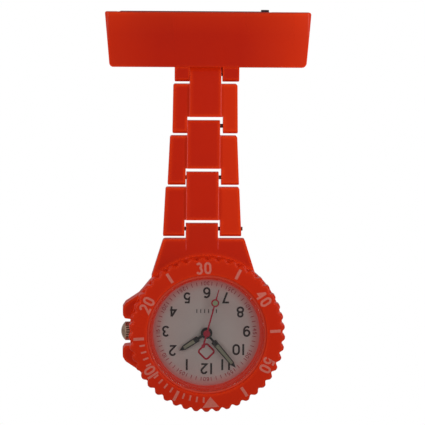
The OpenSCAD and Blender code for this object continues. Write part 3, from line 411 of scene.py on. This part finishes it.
# The finish of every CAD node that stays, by the record's material slot
SLOT_FINISH = {
    "case_plastic": ORANGE, "steel": STEEL, "dark_steel": PIN_STEEL, "brass": BRASS, "crystal": CRYSTAL,
    "dial_face": DIAL_WHITE, "hand_black": HAND_BLACK, "hand_red": HAND_RED, "lume": HAND_LUME, "nylon": NYLON,
    "tinted_nylon": BOUNCE_TINTED_NYLON,
    "rubber": RUBBER, "black_plastic": RESIN, "board": BOARD, "copper_wire": COPPER,
}
NODE_FINISH = {"crown": CROWN_STEEL, "second_lume": RING_LUME, "rehaut_ring": RING_ORANGE,
               "pin_plate": PLATE_STEEL, "case_back": BACK_STEEL, "case_body": CASE_ORANGE,
               "link_1": LINK_ORANGE, "link_2": LINK_ORANGE, "link_3": LINK_ORANGE}

# Rounding of each visible CAD node's edges, in millimetres
EDGE = {
    "link_1": 0.2, "link_2": 0.2, "link_3": 0.2, "case_body": 0.12, "case_back": 0.1, "pin_plate": 0.06,
    "pin_wire": 0.05, "catch_lock": 0.05, "crown": 0.05, "pin_plate_rivets": 0.1, "bar_hinge_pin": 0.1,
    "link_1_pin": 0.1, "link_2_pin": 0.1, "case_hinge_pin": 0.1, "pin_hinge_rivet": 0.08, "rehaut_ring": 0.05,
    "hour_hand": 0.03, "minute_hand": 0.03, "second_hand": 0.03, "crystal": 0.06, "brooch_bar": 0.1,
}


def soften(obj, width):
    """Rounds a CAD node's sharp edges by modifiers, so its own mesh stays as it is."""
    obj.data.polygons.foreach_set("use_smooth", [True] * len(obj.data.polygons))
    if "custom_normal" in obj.data.attributes:
        obj.data.attributes.remove(obj.data.attributes["custom_normal"])
    weld = obj.modifiers.new("weld", "WELD")
    weld.merge_threshold = 0.002 * MM
    flat = obj.modifiers.new("flat_faces", "DECIMATE")
    flat.decimate_type = "DISSOLVE"
    flat.angle_limit = math.radians(0.1)
    bevel = obj.modifiers.new("rounded_edges", "BEVEL")
    bevel.width = width * MM
    bevel.segments = 3
    bevel.limit_method = "ANGLE"
    bevel.angle_limit = math.radians(34)
    bevel.harden_normals = True


def dress_cad_nodes():
    slots = {s["node"]: s["material_slot"] for s in frame["record"]["subparts"]}
    for name, obj in nodes.items():
        obj.data.materials.clear()
        obj.data.materials.append(NODE_FINISH.get(name, SLOT_FINISH[slots[name]]))
        if name in EDGE:
            soften(obj, EDGE[name])


# ---- mesh building ----


def piece(name, verts, faces, body, material, smooth=True):
    """A new piece from bench points, riding on a body."""
    mesh = bpy.data.meshes.new(name)
    mesh.from_pydata([row(v) for v in verts], [], faces)
    mesh.materials.append(material)
    mesh.polygons.foreach_set("use_smooth", [smooth] * len(mesh.polygons))
    obj = bpy.data.objects.new(name, mesh)
    bpy.context.scene.collection.objects.link(obj)
    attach(obj, body)
    return obj


class Solids:
    """Points and faces of several closed solids, gathered into one piece."""

    def __init__(self):
        self.verts, self.faces = [], []

    def add(self, verts, faces):
        start = len(self.verts)
        self.verts += verts
        self.faces += [tuple(start + i for i in f) for f in faces]

    def prism(self, outline, z0, z1):
        """A flat plate from an anticlockwise outline."""
        n = len(outline)
        verts = [(p[0], p[1], z) for z in (z0, z1) for p in outline]
        sides = [(i, (i + 1) % n, n + (i + 1) % n, n + i) for i in range(n)]
        self.add(verts, [tuple(reversed(range(n))), tuple(range(n, 2 * n))] + sides)

    def ribbon(self, line, width, z0, z1, closed=False):
        """A flat band of constant width along a line of points, with mitred corners."""
        left, right = mitred(line, width / 2, closed)
        n = len(line)
        verts = [(p[0], p[1], z) for z in (z0, z1) for side in (right, left) for p in side]
        faces = []
        for i in range(n if closed else n - 1):
            j = (i + 1) % n
            faces += [(2 * n + i, 2 * n + j, 3 * n + j, 3 * n + i), (j, i, n + i, n + j)]
            faces += [(i, j, 2 * n + j, 2 * n + i), (n + j, n + i, 3 * n + i, 3 * n + j)]
        if not closed:
            faces += [(0, 2 * n, 3 * n, n), (n - 1, 2 * n - 1, 4 * n - 1, 3 * n - 1)]
        self.add(verts, faces)


def mitred(line, half, closed):
    """The lines at distance half to the left and to the right of a line of points."""
    left, right = [], []
    n = len(line)
    for i, p in enumerate(line):
        before = line[i - 1] if i or closed else None
        after = line[(i + 1) % n] if i < n - 1 or closed else None
        tangents = [(b - a).normalized() for a, b in ((before, p), (p, after)) if a is not None and b is not None]
        tangent = sum(tangents, Vector((0, 0))).normalized()
        normal = Vector((-tangent.y, tangent.x))
        reach = half / max(0.45, abs(tangent.dot(tangents[0])))
        left.append(p + normal * reach)
        right.append(p - normal * reach)
    return left, right


def arc(cx, cy, rx, ry, start, end, steps=10):
    """Points of an ellipse's arc from start to end degrees."""
    turns = [math.radians(start + (end - start) * i / steps) for i in range(steps + 1)]
    return [Vector((cx + rx * math.cos(a), cy + ry * math.sin(a))) for a in turns]


def points(*pairs):
    return [Vector(p) for p in pairs]


def loop(cx, cy, rx, ry):
    return arc(cx, cy, rx, ry, 90, 450, 20)[:-1]


# Each digit's strokes in a box one wide and one tall: (line, is it closed)
DIGITS = {
    "0": [(arc(0.5, 0.68, 0.5, 0.32, 0, 180) + arc(0.5, 0.32, 0.5, 0.32, 180, 360), True)],
    "1": [(points((0.5, 0), (0.5, 1)), False)],
    "2": [(arc(0.5, 0.71, 0.47, 0.29, 165, -32) + points((0.04, 0.0), (1.0, 0.0)), False)],
    "3": [(arc(0.46, 0.765, 0.42, 0.235, 155, -80), False), (arc(0.48, 0.27, 0.5, 0.27, 82, -155), False)],
    "4": [(points((0.74, 0), (0.74, 1)), False), (points((0.68, 0.97), (0, 0.3), (1, 0.3)), False)],
    "5": [(points((0.92, 1), (0.22, 1), (0.1, 0.5)) + arc(0.48, 0.33, 0.5, 0.33, 118, -148), False)],
    "6": [(arc(0.56, 0.6, 0.54, 0.4, 48, 180) + points((0.02, 0.34)), False), (loop(0.5, 0.31, 0.48, 0.31), True)],
    "7": [(points((0, 1), (1, 1), (0.34, 0)), False)],
    "8": [(loop(0.5, 0.755, 0.41, 0.245), True), (loop(0.5, 0.26, 0.5, 0.26), True)],
}
DIGITS["9"] = [([Vector((1 - p.x, 1 - p.y)) for p in line], closed) for line, closed in DIGITS["6"]]


STROKE_STEP = 0.004  # a digit's second stroke is this much thicker, so their faces never coincide


def number(solids, text, centre, right, up, width, height, stroke, gap, z0, z1):
    """Writes a number with its middle at centre; right and up say which way its digits stand."""
    bars = [digit == "1" for digit in text]
    widths = [stroke if bar else width for bar in bars]
    x = -(sum(widths) + gap * (len(text) - 1)) / 2
    for digit, bar, w in zip(text, bars, widths):
        for layer, (line, closed) in enumerate(DIGITS[digit]):
            placed = []
            for p in line:
                u = x + w / 2 if bar else x + stroke / 2 + p.x * (w - stroke)
                end = 0 if bar or digit in "47" and p.y == 0 else stroke / 2
                v = -height / 2 + end + p.y * (height - end - (0 if bar else stroke / 2))
                placed.append(centre + right * u + up * v)
            solids.ribbon(placed, stroke, z0, z1 + layer * STROKE_STEP, closed)
        x += w + gap


# ---- the dial's printing ----

PRINT_T = 0.02


def dial_prints():
    """Numerals, seconds track, a lozenge and a short row of bars on the dial."""
    low = bench_box("rehaut_ring")[0].z - 0.01
    z0, z1 = low - 0.005, low + PRINT_T
    wearer_right, wearer_up = Vector((-1, 0)), Vector((0, -1))
    centre = Vector((0, 0.33))

    hours = Solids()
    for hour in range(1, 13):
        reach = {12: 8.5, 10: 8.3, 3: 9.15, 9: 9.05}.get(hour, 8.75)
        number(hours, str(hour), centre + polar(reach, hour * 30), wearer_right, wearer_up, 1.7, 2.52, 0.43,
               1.1 if hour == 11 else 0.52, z0, z1)
    piece("dial_numerals", hours.verts, hours.faces, "case", NUMERAL_INK, False)

    track = Solids()
    for minute in range(1, 61):
        turn = minute * 6
        if minute % 5:
            track.ribbon([centre + polar(r, turn) for r in (10.4, 11.25)], 0.15, z0, z1)
        else:
            number(track, f"{minute:02d}", centre + polar(10.85, turn), *upright(turn), 0.6, 0.9, 0.14, 0.16, z0, z1)
    piece("seconds_track", track.verts, track.faces, "case", TRACK_INK, False)

    emblem = Solids()
    middle = polar(4.25, 0)
    corners = [middle + Vector(p) for p in ((1.9, 0), (0, 1.9), (-1.9, 0), (0, -1.9))]
    emblem.ribbon(rounded(corners, 0.5), 0.42, z0, z1, True)
    piece("dial_lozenge", emblem.verts, emblem.faces, "case", EMBLEM_INK, False)

    bars = Solids()
    for i in range(6):
        foot = polar(4.9, 180) + Vector(((i - 2.5) * 0.88, 0))
        bars.ribbon([foot + Vector((0, v)) for v in (-0.42, 0.42)], 0.2, z0, z1)
    piece("dial_short_bars", bars.verts, bars.faces, "case", NUMERAL_INK, False)


def upright(turn):
    """Which way a small number stands on the track: right way up for the wearer, all round the dial."""
    out = polar(1, turn)
    up = out if math.cos(math.radians(turn)) > -0.2 else -out
    return Vector((up.y, -up.x)), up


def rounded(corners, radius, steps=5):
    """A closed line with its corners rounded."""
    line = []
    n = len(corners)
    for i, b in enumerate(corners):
        u, v = (corners[i - 1] - b).normalized(), (corners[(i + 1) % n] - b).normalized()
        half = u.angle(v) / 2
        centre = b + (u + v).normalized() * radius / math.sin(half)
        start = b + u * radius / math.tan(half) - centre
        end = b + v * radius / math.tan(half) - centre
        for k in range(steps + 1):
            line.append(centre + start.lerp(end, k / steps).normalized() * radius)
    return line


# ---- the bezel ----

BEZEL_TURN = -3.4  # the scale's zero stands this far from 12 o'clock


def bezel():
    """The toothed ring: a profile turned about the hands' axis, with its rim waved into teeth."""
    lo, hi = bench_box("bezel")
    rim, top, low = hi.x, hi.z, lo.z
    opening, bore, roof = 13.4, 14.6, top - 1.0
    spring_lo, spring_hi = bench_box("bezel_spring")
    groove_r, groove_low, groove_top = 0.15 - spring_lo.x, spring_lo.z - 0.05, spring_hi.z + 0.05
    teeth, depth, steps = 45, 0.78, 20
    wall = []
    for k in range(5):
        a = math.radians(90 * k / 4)
        wall.append((rim - 0.7 * (1 - math.cos(a)), top - 0.75 + 0.7 * math.sin(a) - 0.0, 1 - 0.55 * k / 4))
    profile = [(bore, low, 0), (rim - 0.25, low, 0.9), (rim - 0.05, low + 0.15, 1), (rim, low + 0.5, 1)] + wall
    profile += [(rim - 1.6, top - 0.01, 0), (opening + 0.55, top, 0), (opening + 0.28, top - 0.02, 0),
                (opening + 0.08, top - 0.12, 0), (opening, top - 0.32, 0), (opening, roof, 0), (bore, roof, 0),
                (bore, groove_top, 0), (groove_r, groove_top, 0), (groove_r, groove_low, 0), (bore, groove_low, 0)]
    n, m = teeth * steps, len(profile)
    verts = []
    for i in range(n):
        turn = 360 * i / n
        wave = (0.5 - 0.5 * math.cos(math.radians(turn * teeth))) ** 1.6
        for r, z, share in profile:
            p = polar(r - depth * wave * share, turn)
            verts.append((p.x, p.y, z))
    faces = [(i * m + k, i * m + (k + 1) % m, (i + 1) % n * m + (k + 1) % m, (i + 1) % n * m + k)
             for i in range(n) for k in range(m)]
    ring = piece("toothed_bezel", verts, faces, "bezel", BEZEL_ORANGE)
    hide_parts("bezel")
    sharp_corners(ring, 40)
    bezel_prints(top)


def sharp_corners(obj, degrees):
    obj.data.set_sharp_from_angle(angle=math.radians(degrees))


def bezel_prints(top):
    """The minute scale, its zero a triangle."""
    z0, z1 = top - 0.02, top + PRINT_T
    scale = Solids()
    for minute in range(1, 60):
        turn = BEZEL_TURN + minute * 6
        if minute % 10 == 0:
            up = polar(1, turn)
            number(scale, str(minute), polar(15.05, turn), Vector((up.y, -up.x)), up, 1.6, 2.74, 0.49, 0.28, z0, z1)
        elif minute % 5 == 0:
            scale.ribbon([polar(r, turn) for r in (14.1, 16.5)], 0.66, z0, z1)
        elif minute < 15:
            scale.ribbon([polar(r, turn) for r in (14.05, 15.3)], 0.4, z0, z1)
    out, side = polar(1, BEZEL_TURN), polar(1, BEZEL_TURN + 90)
    scale.prism([out * 13.95, out * 16.35 - side * 1.9, out * 16.35 + side * 1.9], z0, z1)
    piece("bezel_scale", scale.verts, scale.faces, "bezel", BEZEL_INK, False)


# ---- the stage ----


def floor():
    """A pale floor, far enough below for the bracelet to swing."""
    z = cad_box[0].z - 0.045
    mesh = bpy.data.meshes.new("floor")
    size = 3.0
    mesh.from_pydata([(-size, -size, z), (size, -size, z), (size, size, z), (-size, size, z)], [], [(0, 1, 2, 3)])
    obj = bpy.data.objects.new("floor", mesh)
    bpy.context.scene.collection.objects.link(obj)
    p = Paint("floor_paint")
    seen = p.add("LightPath").outputs["Is Camera Ray"]
    bright = p.add("Emission", Color=rgb(1, 1, 1), Strength=1.0).outputs["Emission"]
    pale = p.finish(Base_Color=p.mix(p.noise(40), rgb(0.8, 0.8, 0.8), rgb(0.78, 0.78, 0.78)), Roughness=0.7)
    both = p.add("MixShader")
    p.set(both, {0: seen, 1: p.bsdf.outputs["BSDF"], 2: bright})
    p.tree.links.new(both.outputs["Shader"], p.tree.nodes["Material Output"].inputs["Surface"])
    mesh.materials.append(pale)


def world(light):
    """White behind the object, and a dim even light on it."""
    w = bpy.data.worlds.new("studio")
    w.use_nodes = True
    tree = w.node_tree
    background = tree.nodes["Background"]
    seen = tree.nodes.new("ShaderNodeLightPath").outputs["Is Camera Ray"]
    strength = tree.nodes.new("ShaderNodeMapRange")
    strength.inputs["To Min"].default_value = light
    strength.inputs["To Max"].default_value = 1.0
    tree.links.new(seen, strength.inputs["Value"])
    tree.links.new(strength.outputs["Result"], background.inputs["Strength"])
    background.inputs["Color"].default_value = (1, 1, 1, 1)
    bpy.context.scene.world = w


def area_light(name, place, aim, size, power, shines=True):
    """A softbox; without shines it lights surfaces but isn't mirrored in them."""
    data = bpy.data.lights.new(name, "AREA")
    data.shape = "RECTANGLE"
    data.size, data.size_y = size
    data.energy = power
    obj = bpy.data.objects.new(name, data)
    obj.visible_camera = False
    obj.visible_glossy = shines
    obj.location = place
    obj.rotation_euler = (Vector(aim) - Vector(place)).to_track_quat("-Z", "Y").to_euler()
    bpy.context.scene.collection.objects.link(obj)


def camera():
    """Seen from a little above and to the left, from 0.6 m away."""
    azimuth, elevation, distance, roll = math.radians(-2.5), math.radians(6.0), 0.6, math.radians(0.445)
    aim = Vector((0.001268, -0.003, 0.026865))
    back = Vector((math.sin(azimuth) * math.cos(elevation), -math.cos(azimuth) * math.cos(elevation),
                   math.sin(elevation)))
    data = bpy.data.cameras.new("camera")
    data.lens = 226.4
    data.sensor_width = 36
    data.clip_start = 0.01
    obj = bpy.data.objects.new("camera", data)
    bpy.context.scene.collection.objects.link(obj)
    turn = (-back).to_track_quat("-Z", "Y").to_matrix().to_4x4()
    obj.matrix_world = Matrix.Translation(aim + back * distance) @ turn @ Matrix.Rotation(roll, 4, "Z")
    bpy.context.scene.camera = obj


dress_cad_nodes()
dial_prints()
bezel()

floor()
world(0.3)
area_light("right_softbox", (0.42, -0.42, -0.08), (0, 0, 0.03), (0.3, 0.4), 0.43)
area_light("left_softbox", (-0.42, -0.42, -0.08), (0, 0, 0.03), (0.3, 0.4), 0.27)
area_light("back_softbox", (-0.3, 0.5, 0.25), (0, 0, 0.03), (0.5, 0.5), 0.7, shines=False)
area_light("right_glow", (0.06, -0.05, 0.05), (0.01, 0, 0.045), (0.02, 0.1), 0.026)
area_light("left_glow", (-0.06, -0.05, 0.05), (-0.01, 0, 0.045), (0.02, 0.1), 0.015)
camera()
bpy.context.scene.view_settings.view_transform = "Standard"
